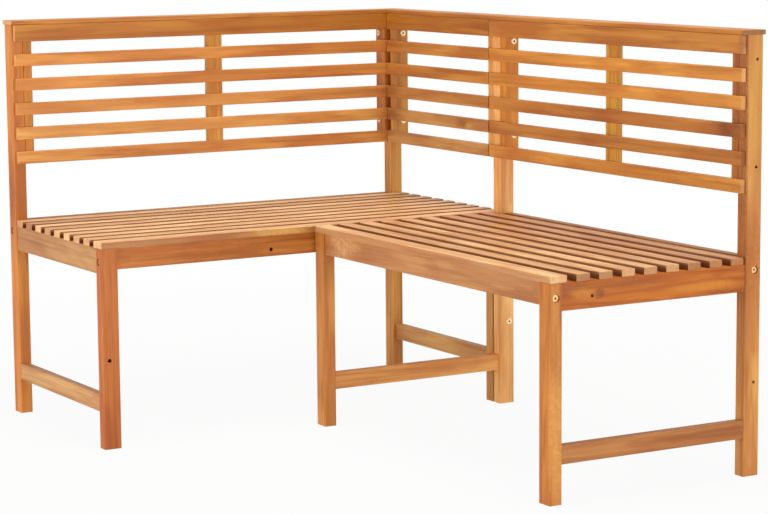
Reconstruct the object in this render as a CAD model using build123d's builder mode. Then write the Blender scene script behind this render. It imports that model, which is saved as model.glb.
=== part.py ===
from build123d import *
import os

os.makedirs("parts", exist_ok=True)

# Slatted wooden corner bench: a long unit, a short unit bolted across its front at one end,
# and three back panels. All sizes are in millimetres.

# whole bench
long_length = 1030.0
short_length = 930.0
bench_depth = 512.0
unit_gap = 4.0
seat_height = 450.0
total_height = 905.0

# posts and legs, cut from one stock
post_wide = 38.5
post_thin = 28.5
post_ease = 2.5

# seat slats and the battens below them
slat_count = 9
slat_width = 32.0
front_slat_width = 40.0
slat_thickness = 15.0
slat_ease = 2.0
seat_back_gap = 5.0
batten_width = 20.0
batten_height = 20.0

# aprons and stretchers
side_apron_height = 55.0
side_apron_thickness = 20.0
side_apron_setback = 2.5
front_apron_height = 46.0
back_apron_height = 48.0
back_apron_drop = 1.0
apron_thickness = 19.0
apron_setback = 5.0
stretcher_low = 79.0
stretcher_height = 38.0
stretcher_thickness = 19.0
stretcher_setback = 1.5
rail_ease = 1.5
apron_tenon = 8.0
stretcher_tenon = 16.0
tenon_thickness = 8.0
tenon_shoulder = 9.0

# back panels
cap_thickness = 10.0
cap_back_overhang = 5.0
cap_end_overhang = 2.0
top_rail_height = 38.0
back_board_thickness = 11.5
back_slat_count = 5
back_slat_height = 28.0
back_slat_gap = 27.6
back_board_inset = 5.0
panel_joint_gap = 4.0
panel_corner_gap = 3.0
stile_width = 21.0
centre_stile_width = 38.0
centre_stile_thickness = 18.0

# bolts, nuts, inserts, screws and dowels
bolt_diameter = 6.0
bolt_hole_diameter = 6.6
head_diameter = 15.0
head_height = 3.0
head_ease = 1.2
head_recess = 6.0
socket_size = 4.0
socket_depth = 2.0
nut_diameter = 10.0
nut_length = 14.0
nut_distance = 24.0
nut_tail = 5.0
insert_diameter = 9.0
insert_length = 13.0
insert_grip = 11.0
bolt_inset = 14.5
front_bolt_drop = 6.0
back_bolt_drop = 2.0
high_bolt_drop = 10.5
low_bolt_drop = 3.5
join_height = 193.5
apron_join_drop = 31.0
apron_join_distance = 100.0
screw_diameter = 4.0
screw_head_diameter = 8.0
screw_bite = 9.0
dowel_diameter = 8.0
dowel_depth = 15.0
dowel_rise = 14.0
pin_diameter = 6.0
pin_bite = 7.0
pin_depth = 14.0
cap_dowel_bite = 6.0
leg_dowel_inset = 11.0

# play left in sockets
fit_play = 0.1
thread_play = 0.05
head_play = 0.5
end_play = 0.5

# heights
slat_low = seat_height - slat_thickness
cap_low = total_height - cap_thickness
top_rail_low = cap_low - top_rail_height
back_slat_pitch = back_slat_height + back_slat_gap
back_slat_lows = [top_rail_low - back_slat_pitch * (n + 1) for n in range(back_slat_count)]
stile_low = back_slat_lows[-1]
front_apron_low = slat_low - front_apron_height
back_apron_top = seat_height - back_apron_drop
back_apron_low = back_apron_top - back_apron_height
front_bolt_height = slat_low - front_apron_height / 2 - front_bolt_drop
back_bolt_height = back_apron_top - back_apron_height / 2 - back_bolt_drop
panel_bolt_heights = [
    top_rail_low - high_bolt_drop,
    back_slat_lows[-2] - low_bolt_drop,
]
apron_join_height = slat_low - apron_join_drop
apron_bolt_inset = apron_setback + apron_thickness / 2

# each unit has its own plane: x runs along the seat, y = 0 is the back face, z = 0 the floor
corner_x = (cap_end_overhang + long_length - cap_back_overhang) / 2
corner_y = (cap_end_overhang + short_length + unit_gap + bench_depth - cap_back_overhang) / 2
panel_front = post_wide + back_board_thickness
return_length = bench_depth + unit_gap - panel_front
long_unit = Plane((corner_x - long_length, corner_y, 0), x_dir=(1, 0, 0))
short_unit = Plane((corner_x, corner_y - bench_depth - unit_gap, 0), x_dir=(0, -1, 0))
return_unit = Plane((corner_x, corner_y - panel_front, 0), x_dir=(0, -1, 0))

# seat slats, front to back, as (low, high) across the seat
slat_zone = bench_depth - post_wide - seat_back_gap - front_slat_width
slat_pitch = slat_zone / (slat_count - 1)
slat_spans = [(-bench_depth, -bench_depth + front_slat_width)]
for n in range(1, slat_count):
    slat_back = -bench_depth + front_slat_width + n * slat_pitch
    slat_spans.append((slat_back - slat_width, slat_back))


def along(unit):
    return Axis((0, 0, 0), unit.x_dir)


def across(unit):
    return Axis((0, 0, 0), unit.y_dir)


def inward(length, end, near, far):
    # a (low, high) pair measured in from one end of a unit
    if end == 0:
        return (near, far)
    return (length - far, length - near)


def middle(pair):
    return (pair[0] + pair[1]) / 2


def brick(x, y, z, mode=Mode.ADD):
    # a square block, or a square cut
    with Locations((middle(x), middle(y), middle(z))):
        Box(x[1] - x[0], y[1] - y[0], z[1] - z[0], mode=mode)


def board(x, y, z, ease, grain=None):
    # a board with eased edges: those along the grain, or all of them
    brick(x, y, z)
    eased = edges(Select.LAST)
    if grain is not None:
        eased = eased.filter_by(grain)
    fillet(eased, ease)


def bore(point, outward, diameter, depth):
    # a round hole that starts at a point and runs against its outward direction
    with Locations(Plane(point, z_dir=outward)):
        Hole(diameter / 2, depth)


def insert_bore(point, outward):
    bore(point, outward, insert_diameter + 2 * fit_play, insert_length + end_play)


def seat(unit, point, outward):
    # where a fastener sits, in the bench's own frame
    return unit.location * Location(Plane(point, z_dir=outward))


def keep(piece, name):
    piece.part.label = name
    export_step(piece.part, "parts/" + name + ".step")


def tenon_spans(setback, thickness, low, height):
    # thickness and height of a tenon, centred in its rail
    face = setback + thickness / 2
    return (
        (face - tenon_thickness / 2, face + tenon_thickness / 2),
        (low + tenon_shoulder, low + height - tenon_shoulder),
    )


side_apron_low = slat_low - side_apron_height
apron_tenon_spans = tenon_spans(
    side_apron_setback, side_apron_thickness, side_apron_low, side_apron_height
)
stretcher_tenon_spans = tenon_spans(
    stretcher_setback, stretcher_thickness, stretcher_low, stretcher_height
)


def end_pockets(length, end, mouth, way):
    # the two mortises of a side frame, cut in from the face at mouth
    for spans, depth in (
        (apron_tenon_spans, apron_tenon),
        (stretcher_tenon_spans, stretcher_tenon),
    ):
        x = inward(length, end, spans[0][0] - fit_play, spans[0][1] + fit_play)
        y = sorted((mouth, mouth + way * (depth + end_play)))
        z = (spans[1][0] - fit_play, spans[1][1] + fit_play)
        brick(x, y, z, mode=Mode.SUBTRACT)


def joint_bores(length, end, width, line, bolt_height):
    # connector bolt through a post or leg, with its head sunk in, and the dowel hole above it
    way = 1 if end == 0 else -1
    outer = 0 if end == 0 else length
    bore((outer, line, bolt_height), (-way, 0, 0), bolt_hole_diameter, width)
    bore((outer, line, bolt_height), (-way, 0, 0), head_diameter + 2 * head_play, head_recess)
    spot = (outer + way * width, line, bolt_height + dowel_rise)
    bore(spot, (way, 0, 0), dowel_diameter + 2 * fit_play, dowel_depth + end_play)


front_line = -bench_depth + apron_bolt_inset
back_line = -apron_bolt_inset
bolt_line = -bolt_inset

units = (
    ("long", long_unit, long_length, ("outer", "corner")),
    ("short", short_unit, short_length, ("inner", "outer")),
)

for unit_name, unit, length, end_names in units:
    for end, end_name in enumerate(end_names):
        name = unit_name + "_" + end_name
        way = 1 if end == 0 else -1
        outer = 0 if end == 0 else length
        inner = outer + way * post_thin
        line = outer + way * bolt_inset

        # tall back post
        with BuildPart(unit) as back_post:
            board(inward(length, end, 0, post_thin), (-post_wide, 0), (0, cap_low), post_ease, Axis.Z)
            end_pockets(length, end, -post_wide, 1)
            joint_bores(length, end, post_thin, back_line, back_bolt_height)
            for height in panel_bolt_heights:
                if name != "short_inner":
                    insert_bore((inner, bolt_line, height), (way, 0, 0))
                if unit_name == "short":
                    bore((outer, bolt_line, height), (-way, 0, 0), bolt_hole_diameter, post_thin)
                if name == "long_corner":
                    insert_bore((line, -post_wide, height), (0, -1, 0))
            if unit_name == "short":
                bore((outer, bolt_line, join_height), (-way, 0, 0), bolt_hole_diameter, post_thin)
        keep(back_post, name + "_back_post")

        # short front leg
        with BuildPart(unit) as front_leg:
            leg_back = -bench_depth + post_thin
            board(
                inward(length, end, 0, post_wide), (-bench_depth, leg_back), (0, slat_low), post_ease, Axis.Z
            )
            end_pockets(length, end, leg_back, -1)
            joint_bores(length, end, post_wide, front_line, front_bolt_height)
            spot = (outer + way * leg_dowel_inset, front_line, slat_low)
            bore(spot, (0, 0, 1), dowel_diameter + 2 * fit_play, dowel_depth + end_play)
            if unit_name == "long":
                insert_bore((line, -bench_depth, join_height), (0, -1, 0))
        keep(front_leg, name + "_front_leg")

        # side apron, tenoned into the post and the leg
        with BuildPart(unit) as side_apron:
            x = inward(length, end, side_apron_setback, side_apron_setback + side_apron_thickness)
            y = (-bench_depth + post_thin, -post_wide)
            board(x, y, (side_apron_low, slat_low), rail_ease, across(unit))
            x = inward(length, end, *apron_tenon_spans[0])
            brick(x, (y[0] - apron_tenon, y[0]), apron_tenon_spans[1])
            brick(x, (y[1], y[1] + apron_tenon), apron_tenon_spans[1])
            if unit_name == "short":
                spot = (outer, -bench_depth + apron_join_distance, apron_join_height)
                bore(spot, (-way, 0, 0), bolt_hole_diameter, side_apron_setback + side_apron_thickness)
        keep(side_apron, name + "_side_apron")

        # low stretcher, tenoned into the post and the leg
        with BuildPart(unit) as stretcher:
            x = inward(length, end, stretcher_setback, stretcher_setback + stretcher_thickness)
            y = (-bench_depth + post_thin, -post_wide)
            board(x, y, (stretcher_low, stretcher_low + stretcher_height), rail_ease, across(unit))
            x = inward(length, end, *stretcher_tenon_spans[0])
            brick(x, (y[0] - stretcher_tenon, y[0]), stretcher_tenon_spans[1])
            brick(x, (y[1], y[1] + stretcher_tenon), stretcher_tenon_spans[1])
        keep(stretcher, name + "_stretcher")

    # front and back aprons, butted between legs and posts, bolted at both ends
    for apron_name, width, y, z, line, bolt_height, inside in (
        (
            "front",
            post_wide,
            (-bench_depth + apron_setback, -bench_depth + apron_setback + apron_thickness),
            (front_apron_low, slat_low),
            front_line,
            front_bolt_height,
            1,
        ),
        (
            "back",
            post_thin,
            (-apron_setback - apron_thickness, -apron_setback),
            (back_apron_low, back_apron_top),
            back_line,
            back_bolt_height,
            -1,
        ),
    ):
        with BuildPart(unit) as apron:
            board((width, length - width), y, z, rail_ease, along(unit))
            for end in (0, 1):
                way = 1 if end == 0 else -1
                face = width if end == 0 else length - width
                reach = nut_distance + nut_diameter / 2 + nut_tail + end_play
                bore((face, line, bolt_height), (-way, 0, 0), bolt_hole_diameter, reach)
                spot = (face, line, bolt_height + dowel_rise)
                bore(spot, (-way, 0, 0), dowel_diameter + 2 * fit_play, dowel_depth + end_play)
                spot = (face + way * nut_distance, y[1] if inside == 1 else y[0], bolt_height)
                depth = apron_thickness / 2 + nut_length / 2 + fit_play
                bore(spot, (0, inside, 0), nut_diameter + 2 * fit_play, depth)
                if (unit_name, apron_name) == ("long", "front"):
                    join_x = way * (bench_depth - apron_join_distance) + (0 if end == 0 else length)
                    insert_bore((join_x, y[0], apron_join_height), (0, -1, 0))
        keep(apron, unit_name + "_" + apron_name + "_apron")

    # battens under the slats: one inside each side apron and one across the middle
    batten_low = slat_low - batten_height
    batten_inner = side_apron_setback + side_apron_thickness
    end_spans = [inward(length, end, batten_inner, batten_inner + batten_width) for end in (0, 1)]
    middle_span = (length / 2 - batten_width / 2, length / 2 + batten_width / 2)
    front_face = -bench_depth + apron_setback + apron_thickness
    slat_middles = [middle(span) for span in slat_spans]
    front_screw = (front_face - bench_depth + front_slat_width) / 2
    screw_spots = [(middle(middle_span), front_screw)]
    screw_spots += [(middle(middle_span), y) for y in slat_middles[1:]]
    screw_spots += [(middle(span), y) for span in end_spans for y in slat_middles[1:]]
    with BuildPart(unit) as battens:
        for span in end_spans:
            board(
                span, (-bench_depth + post_thin, -post_wide), (batten_low, slat_low), rail_ease, across(unit)
            )
        board(
            middle_span,
            (front_face, -apron_setback - apron_thickness),
            (batten_low, slat_low),
            rail_ease,
            across(unit),
        )
        with Locations(*[Plane((x, y, batten_low), z_dir=(0, 0, -1)) for x, y in screw_spots]):
            CounterSinkHole(
                screw_diameter / 2 + fit_play, screw_head_diameter / 2 + fit_play, batten_height, 90
            )
    keep(battens, unit_name + "_seat_battens")

    # seat slats
    with BuildPart(unit) as seat_slats:
        for span in slat_spans:
            board((0, length), span, (slat_low, seat_height), slat_ease)
        with Locations(*[Plane((x, y, slat_low), z_dir=(0, 0, -1)) for x, y in screw_spots]):
            Hole(screw_diameter / 2 + fit_play, screw_bite + end_play)
        for x in (leg_dowel_inset, length - leg_dowel_inset):
            bore(
                (x, front_line, slat_low),
                (0, 0, -1),
                dowel_diameter + 2 * fit_play,
                cap_dowel_bite + end_play,
            )
    keep(seat_slats, unit_name + "_seat_slats")

# back panels: stiles as (name, low, high, thickness), then the ends of the boards and of the cap
panels = (
    (
        "long",
        long_unit,
        (
            ("outer", post_thin, post_thin + stile_width, post_wide),
            (
                "centre",
                (long_length - centre_stile_width) / 2,
                (long_length + centre_stile_width) / 2,
                centre_stile_thickness,
            ),
            ("corner", long_length - post_thin - stile_width, long_length - post_thin, post_wide),
        ),
        (back_board_inset, long_length - back_board_inset),
        (-cap_end_overhang, long_length + cap_back_overhang),
    ),
    (
        "return",
        return_unit,
        (
            ("corner", 0, stile_width, post_wide),
            ("end", return_length - stile_width, return_length, post_wide),
        ),
        (panel_corner_gap, return_length - panel_joint_gap),
        (panel_corner_gap, return_length - panel_joint_gap),
    ),
    (
        "short",
        short_unit,
        (
            ("inner", post_thin, post_thin + stile_width, post_wide),
            (
                "centre",
                (short_length - centre_stile_width) / 2,
                (short_length + centre_stile_width) / 2,
                centre_stile_thickness,
            ),
            ("outer", short_length - post_thin - stile_width, short_length - post_thin, post_wide),
        ),
        (0, short_length - back_board_inset),
        (0, short_length + cap_end_overhang),
    ),
)

back_boards = [("top_rail", top_rail_low, top_rail_height)]
for n, low in enumerate(back_slat_lows):
    back_boards.append(("back_slat_" + str(n + 1), low, back_slat_height))
pin_heights = [low + height / 2 for board_name, low, height in back_boards]

for panel_name, unit, stiles, board_ends, cap_ends in panels:
    stile_lines = [(low + high) / 2 for stile_name, low, high, thickness in stiles]

    # stiles behind the boards
    for stile_name, low, high, thickness in stiles:
        with BuildPart(unit) as stile:
            y = (-post_wide, -post_wide + thickness)
            board((low, high), y, (stile_low, cap_low), rail_ease, Axis.Z)
            for height in pin_heights:
                spot = ((low + high) / 2, -post_wide, height)
                bore(spot, (0, -1, 0), pin_diameter + 2 * fit_play, pin_depth + end_play)
            spot = ((low + high) / 2, middle(y), cap_low)
            bore(spot, (0, 0, 1), dowel_diameter + 2 * fit_play, dowel_depth + end_play)
            if stile_name != "centre":
                for height in panel_bolt_heights:
                    spot = (high, bolt_line, height)
                    if stile_name == "end":
                        insert_bore(spot, (1, 0, 0))
                    else:
                        bore(spot, (1, 0, 0), bolt_hole_diameter, stile_width)
        keep(stile, panel_name + "_" + stile_name + "_stile")

    # top rail and slats across the front
    for board_name, low, height in back_boards:
        with BuildPart(unit) as back_board:
            board(board_ends, (-panel_front, -post_wide), (low, low + height), rail_ease)
            for x in stile_lines:
                spot = (x, -post_wide, low + height / 2)
                bore(spot, (0, 1, 0), pin_diameter + 2 * fit_play, pin_bite + end_play)
        keep(back_board, panel_name + "_" + board_name)

    # cap over the posts, stiles and top rail
    with BuildPart(unit) as cap:
        board(cap_ends, (-panel_front, cap_back_overhang), (cap_low, total_height), slat_ease)
        for stile_name, low, high, thickness in stiles:
            spot = ((low + high) / 2, -post_wide + thickness / 2, cap_low)
            bore(spot, (0, 0, -1), dowel_diameter + 2 * fit_play, cap_dowel_bite + end_play)
    keep(cap, panel_name + "_cap_rail")


def bolt(length):
    # button head with a hexagon socket, shank down from the seat face
    with BuildPart() as made:
        Cylinder(head_diameter / 2, head_height, align=(Align.CENTER, Align.CENTER, Align.MIN))
        fillet(edges().group_by(Axis.Z)[-1], head_ease)
        with BuildSketch(Plane.XY.offset(head_height)):
            RegularPolygon(socket_size / 2, 6, major_radius=False)
        extrude(amount=-socket_depth, mode=Mode.SUBTRACT)
        Cylinder(bolt_diameter / 2, length, align=(Align.CENTER, Align.CENTER, Align.MAX))
    return made.part


# connector bolts with their barrel nuts and the dowels beside them
bolt_reach = nut_distance + nut_diameter / 2 + nut_tail
leg_bolt_seats = []
post_bolt_seats = []
nut_seats = []
dowel_seats = []
leg_dowel_seats = []
for unit_name, unit, length, end_names in units:
    for end in (0, 1):
        way = 1 if end == 0 else -1
        outer = 0 if end == 0 else length
        for seats, width, line, height in (
            (leg_bolt_seats, post_wide, front_line, front_bolt_height),
            (post_bolt_seats, post_thin, back_line, back_bolt_height),
        ):
            face = outer + way * width
            seats.append(seat(unit, (outer + way * head_recess, line, height), (-way, 0, 0)))
            nut_seats.append(
                unit.location
                * Location(Plane((face + way * nut_distance, line, height), x_dir=(1, 0, 0), z_dir=(0, 1, 0)))
            )
            dowel_seats.append(seat(unit, (face, line, height + dowel_rise), (way, 0, 0)))
        leg_dowel_seats.append(seat(unit, (outer + way * leg_dowel_inset, front_line, slat_low), (0, 0, 1)))

leg_bolt = bolt(post_wide - head_recess + bolt_reach)
post_bolt = bolt(post_thin - head_recess + bolt_reach)
with BuildPart() as connector_bolts:
    with Locations(*leg_bolt_seats):
        add(leg_bolt)
    with Locations(*post_bolt_seats):
        add(post_bolt)
keep(connector_bolts, "connector_bolts")

with BuildPart() as barrel_nut:
    Cylinder(nut_diameter / 2, nut_length)
    with Locations(Plane((nut_diameter / 2, 0, 0), z_dir=(1, 0, 0))):
        Hole(bolt_diameter / 2 + thread_play, nut_diameter)
with BuildPart() as barrel_nuts:
    with Locations(*nut_seats):
        add(barrel_nut.part)
keep(barrel_nuts, "barrel_nuts")

# panel bolts, from the free side of each stile into a post or on through it
stile_seats = []
corner_seats = []
through_seats = []
insert_seats = []
for height in panel_bolt_heights:
    reach = post_thin + stile_width
    for unit, length, free in (
        (long_unit, long_length, (0, 1)),
        (short_unit, short_length, (1,)),
    ):
        for end in free:
            way = 1 if end == 0 else -1
            outer = 0 if end == 0 else length
            stile_seats.append(seat(unit, (outer + way * reach, bolt_line, height), (way, 0, 0)))
            insert_seats.append(seat(unit, (outer + way * post_thin, bolt_line, height), (way, 0, 0)))
    corner_seats.append(seat(return_unit, (stile_width, bolt_line, height), (1, 0, 0)))
    insert_seats.append(seat(long_unit, (long_length - bolt_inset, -post_wide, height), (0, -1, 0)))
    through_seats.append(seat(short_unit, (reach, bolt_line, height), (1, 0, 0)))
    insert_seats.append(seat(return_unit, (return_length, bolt_line, height), (1, 0, 0)))

stile_bolt = bolt(stile_width + insert_grip)
corner_bolt = bolt(stile_width + back_board_thickness + insert_grip)
through_bolt = bolt(stile_width + post_thin + insert_grip)
with BuildPart() as panel_bolts:
    with Locations(*stile_seats):
        add(stile_bolt)
    with Locations(*corner_seats):
        add(corner_bolt)
    with Locations(*through_seats):
        add(through_bolt)
keep(panel_bolts, "panel_bolts")

# joining bolts between the units: post to leg, and side apron to front apron
post_join = seat(short_unit, (post_thin, bolt_line, join_height), (1, 0, 0))
apron_join_x = side_apron_setback + side_apron_thickness
apron_join = seat(
    short_unit, (apron_join_x, -bench_depth + apron_join_distance, apron_join_height), (1, 0, 0)
)
post_join_bolt = bolt(post_thin + unit_gap + insert_grip)
apron_join_bolt = bolt(apron_join_x + unit_gap + apron_setback + insert_grip)
with BuildPart() as joining_bolts:
    with Locations(post_join):
        add(post_join_bolt)
    with Locations(apron_join):
        add(apron_join_bolt)
keep(joining_bolts, "joining_bolts")

# threaded inserts, also in the spare joining holes at the free end of the long unit
for x in (bolt_inset, long_length - bolt_inset):
    insert_seats.append(seat(long_unit, (x, -bench_depth, join_height), (0, -1, 0)))
join_reach = bench_depth - apron_join_distance
for x in (join_reach, long_length - join_reach):
    spot = (x, -bench_depth + apron_setback, apron_join_height)
    insert_seats.append(seat(long_unit, spot, (0, -1, 0)))
with BuildPart() as insert:
    Cylinder(insert_diameter / 2, insert_length, align=(Align.CENTER, Align.CENTER, Align.MAX))
    Hole(bolt_diameter / 2 + thread_play)
with BuildPart() as threaded_inserts:
    with Locations(*insert_seats):
        add(insert.part)
keep(threaded_inserts, "threaded_inserts")

# countersunk screws up through the battens into the slats
screw_seats = []
for unit_name, unit, length, end_names in units:
    end_middle = side_apron_setback + side_apron_thickness + batten_width / 2
    spots = [(length / 2, front_screw)]
    for x in (length / 2, end_middle, length - end_middle):
        spots += [(x, y) for y in slat_middles[1:]]
    screw_seats += [seat(unit, (x, y, slat_low - batten_height), (0, 0, -1)) for x, y in spots]
screw_length = batten_height + screw_bite
screw_cone = (screw_head_diameter - screw_diameter) / 2
with BuildPart() as screw:
    with BuildSketch(Plane.XZ):
        with BuildLine():
            Polyline(
                (0, 0),
                (screw_head_diameter / 2, 0),
                (screw_diameter / 2, -screw_cone),
                (screw_diameter / 2, -screw_length),
                (0, -screw_length),
                close=True,
            )
        make_face()
    revolve(axis=Axis.Z)
with BuildPart() as seat_screws:
    with Locations(*screw_seats):
        add(screw.part)
keep(seat_screws, "seat_screws")

# dowels: beside the connector bolts, under the front slats, under the caps and behind the boards
pin_seats = []
cap_dowel_seats = []
for panel_name, unit, stiles, board_ends, cap_ends in panels:
    for stile_name, low, high, thickness in stiles:
        x = (low + high) / 2
        for height in pin_heights:
            pin_seats.append(seat(unit, (x, -post_wide, height), (0, -1, 0)))
        cap_dowel_seats.append(seat(unit, (x, -post_wide + thickness / 2, cap_low), (0, 0, 1)))


def dowel(diameter, above, below):
    with BuildPart() as made:
        Cylinder(diameter / 2, above, align=(Align.CENTER, Align.CENTER, Align.MIN))
        Cylinder(diameter / 2, below, align=(Align.CENTER, Align.CENTER, Align.MAX))
    return made.part


frame_dowel = dowel(dowel_diameter, dowel_depth, dowel_depth)
cap_dowel = dowel(dowel_diameter, cap_dowel_bite, dowel_depth)
board_pin = dowel(pin_diameter, pin_bite, pin_depth)
with BuildPart() as wooden_dowels:
    with Locations(*dowel_seats):
        add(frame_dowel)
    with Locations(*leg_dowel_seats, *cap_dowel_seats):
        add(cap_dowel)
    with Locations(*pin_seats):
        add(board_pin)
keep(wooden_dowels, "wooden_dowels")
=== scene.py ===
import bmesh
import bpy
import math
import random
from mathutils import Matrix, Vector


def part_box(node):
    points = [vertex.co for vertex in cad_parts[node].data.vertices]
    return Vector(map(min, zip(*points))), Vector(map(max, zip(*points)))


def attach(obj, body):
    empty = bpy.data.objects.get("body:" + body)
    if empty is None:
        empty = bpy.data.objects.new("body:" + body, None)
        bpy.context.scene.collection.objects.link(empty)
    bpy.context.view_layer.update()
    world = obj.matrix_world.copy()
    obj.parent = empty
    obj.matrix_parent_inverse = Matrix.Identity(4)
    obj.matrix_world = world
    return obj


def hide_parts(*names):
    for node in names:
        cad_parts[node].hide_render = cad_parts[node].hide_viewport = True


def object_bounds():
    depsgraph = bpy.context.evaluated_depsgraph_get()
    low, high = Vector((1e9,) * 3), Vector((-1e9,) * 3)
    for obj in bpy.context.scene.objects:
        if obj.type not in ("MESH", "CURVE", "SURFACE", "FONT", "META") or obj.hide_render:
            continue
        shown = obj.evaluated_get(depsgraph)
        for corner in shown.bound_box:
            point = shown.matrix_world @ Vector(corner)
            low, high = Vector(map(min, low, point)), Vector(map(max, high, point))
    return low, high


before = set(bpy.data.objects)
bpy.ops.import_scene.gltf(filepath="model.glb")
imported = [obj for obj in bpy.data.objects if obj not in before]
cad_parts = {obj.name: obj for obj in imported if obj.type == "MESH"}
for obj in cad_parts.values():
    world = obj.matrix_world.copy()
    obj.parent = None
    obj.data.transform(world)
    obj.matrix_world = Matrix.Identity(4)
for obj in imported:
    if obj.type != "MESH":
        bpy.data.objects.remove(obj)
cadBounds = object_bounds()
mm = 0.001
print("frame loaded:", len(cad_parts), "nodes")


def linear(hexColour):
    # sRGB hex to the linear colour that a shader takes
    channels = [int(hexColour[i:i + 2], 16) / 255 for i in (1, 3, 5)]
    return [c / 12.92 if c <= 0.04045 else ((c + 0.055) / 1.055) ** 2.4 for c in channels] + [1.0]


def perMetre(size):
    # how often a pattern of this size in mm comes round in a metre
    return 1 / (size * mm)


def addNode(tree, kind, settings=None, feeds=None):
    # one node: its settings, then what feeds each input, another socket or a fixed value
    node = tree.nodes.new(kind)
    for name, value in (settings or {}).items():
        setattr(node, name, value)
    for socket, source in (feeds or {}).items():
        several = isinstance(source, list) and isinstance(source[0], bpy.types.NodeSocket)
        for one in source if several else [source]:
            if isinstance(one, bpy.types.NodeSocket):
                tree.links.new(one, node.inputs[socket])
            else:
                node.inputs[socket].default_value = one
    return node


# oiled acacia, planed and sanded: orange-brown, clouded pale and ruddy along the board,
# with soft streaks, faint ring lines and a satin sheen where it is seen along the face; widths in mm
acacia = {
    "pale": (1.20, 1.36, 1.44),  # the board's own colour, red, green and blue, in its pale clouds
    "ruddy": (0.85, 0.70, 0.60),
    "dark": (0.54, 0.41, 0.32),
    "paintedSideShade": (0.42, 0.20, 0.07),  # painted shade on the seat slats' sides in the gaps and on the seat's front edge
    "deep": (0.14, 0.06, 0.025),  # deeper painted shade low in the gaps
    "deepFrom": (3.5, 8.0),  # where that starts and is full, in mm below the seat
    "cloudWidth": 46.0,
    "patchWidth": 30.0,
    "streakWidth": 11.0,
    "fibreWidth": 2.4,  # real fibres are under 1 mm, drawn coarser so that they show
    "stretch": 0.16,  # patterns run this much slower along the grain
    "fineStretch": 0.2,  # and streaks and fibres slower still
    "tilt": 5.0,
    "pith": (18.0, 80.0),  # how far off the middle of the log a board was cut
    "logReach": 3.0,  # metres of log, each way, that boards are cut from
    "ringDetail": (2.5, 0.55),  # how much small waver the rings have, and how rough it is
    "endPale": "#EDBB85",
    "endWidth": 240.0,  # about one darkness to a board's end
    "endThirst": (0.40, 0.62),  # where in that noise an end starts to darken and is darkest
    "endDark": 0.75,
    "endFacing": (0.80, 0.97),  # how squarely a face looks along the grain to start as an end, and be one
    "endShare": 0.55,
    "sideFacing": (0.60, 0.97),  # the same across the grain, for a slat side that takes painted shade
    "frontShadeRamp": 3.0,  # from the seat's front edge back to where the gaps' painted shade is full
    "markSwirl": 18.0,
    "markCurl": (1.5, 1.6),  # detail and distortion of the swirl
    "markMottle": (0.38, 0.62),  # where in the swirl a mark is broken up and where it is whole
    "markFray": 1.4,
    "markRim": (1.75, 0.85),  # frayed distances at which a mark starts and is full
    "roughness": (0.42, 0.55),
    "fibreDepth": 0.08,
    "fibreBump": 0.6,
    "oilIor": 1.36,  # open pores mirror less than a film of oil
}
# rings: their spacing in mm, wider than real so that it shows, how far they wander, how soon, how dark
figures = {
    "plain": {"spacing": 9.0, "wander": 2.0, "wanderScale": 0.5, "share": 0.13},
    "wavy": {"spacing": 11.0, "wander": 5.0, "wanderScale": 0.7, "share": 0.22},
    "flame": {"spacing": 17.0, "wander": 11.0, "wanderScale": 1.0, "share": 0.42},
}
grainTurns = {"X": (0, 0, 0), "Y": (0, 0, -90), "Z": (0, 90, 0)}
axisNames = "XYZ"
noiseSpan = (0.3, 0.7)  # most values of a noise lie between these


def acaciaColours(tree, tones):
    # a board's colours; in a set of boards they lie between those of two tones
    between = 0.0
    if len(tones) > 1:
        between = addNode(tree, "ShaderNodeAttribute", {"attribute_name": "boardTone"}).outputs["Fac"]
    pairs = {"main": [linear(tone) for tone in tones]}
    for key in ("pale", "ruddy", "dark", "paintedSideShade", "deep"):
        factors = (*acacia[key], 1)
        pairs[key] = [[c * f for c, f in zip(tone, factors)] for tone in pairs["main"]]
    pairs["end"] = [linear(acacia["endPale"]), pairs["ruddy"][-1]]
    colours = {}
    for key, pair in pairs.items():
        colours[key] = addNode(
            tree, "ShaderNodeMix", {"data_type": "RGBA"}, {0: between, 6: pair[0], 7: pair[-1]}
        ).outputs[2]
    return colours


def acaciaPatterns(tree, moved, turn, grain, figure):
    # what varies over a board, each from 0 to 1, with the grain turned to x and drawn out along it
    scale = [acacia["stretch"] if letter == grain else 1 for letter in axisNames]
    lined = addNode(
        tree, "ShaderNodeMapping", {}, {"Vector": moved, "Rotation": turn, "Scale": scale}
    ).outputs[0]
    slow = addNode(
        tree, "ShaderNodeVectorMath", {"operation": "MULTIPLY"}, {0: lined, 1: (acacia["fineStretch"], 1, 1)}
    ).outputs[0]
    found = {}
    for key, vector, width, detail in (
        ("clouds", lined, acacia["cloudWidth"], 2.0),
        ("patches", lined, acacia["patchWidth"], 3.0),
        ("streaks", slow, acacia["streakWidth"], 4.0),
        ("fibres", slow, acacia["fibreWidth"], 2.0),
        ("thirst", moved, acacia["endWidth"], 0.0),
    ):
        found[key] = addNode(
            tree, "ShaderNodeTexNoise", {}, {"Vector": vector, "Scale": perMetre(width), "Detail": detail}
        ).outputs[0]
    found["rings"] = addNode(
        tree,
        "ShaderNodeTexWave",
        {"wave_type": "RINGS", "rings_direction": "X", "wave_profile": "SAW"},
        {
            "Vector": lined,
            "Scale": math.tau / 20 * perMetre(figure["spacing"]),  # this texture has 20 rings in tau units
            "Distortion": figure["wander"],
            "Detail": acacia["ringDetail"][0],
            "Detail Scale": figure["wanderScale"],
            "Detail Roughness": acacia["ringDetail"][1],
        },
    ).outputs["Fac"]
    return found


def facingAlong(tree, normal, way):
    # 1 on faces that look along this axis, either way, and 0 on those beside it
    along = addNode(
        tree,
        "ShaderNodeVectorMath",
        {"operation": "DOT_PRODUCT"},
        {0: normal, 1: [1 if letter == way else 0 for letter in axisNames]},
    ).outputs["Value"]
    return addNode(tree, "ShaderNodeMath", {"operation": "ABSOLUTE"}, {0: along}).outputs[0]


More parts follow.
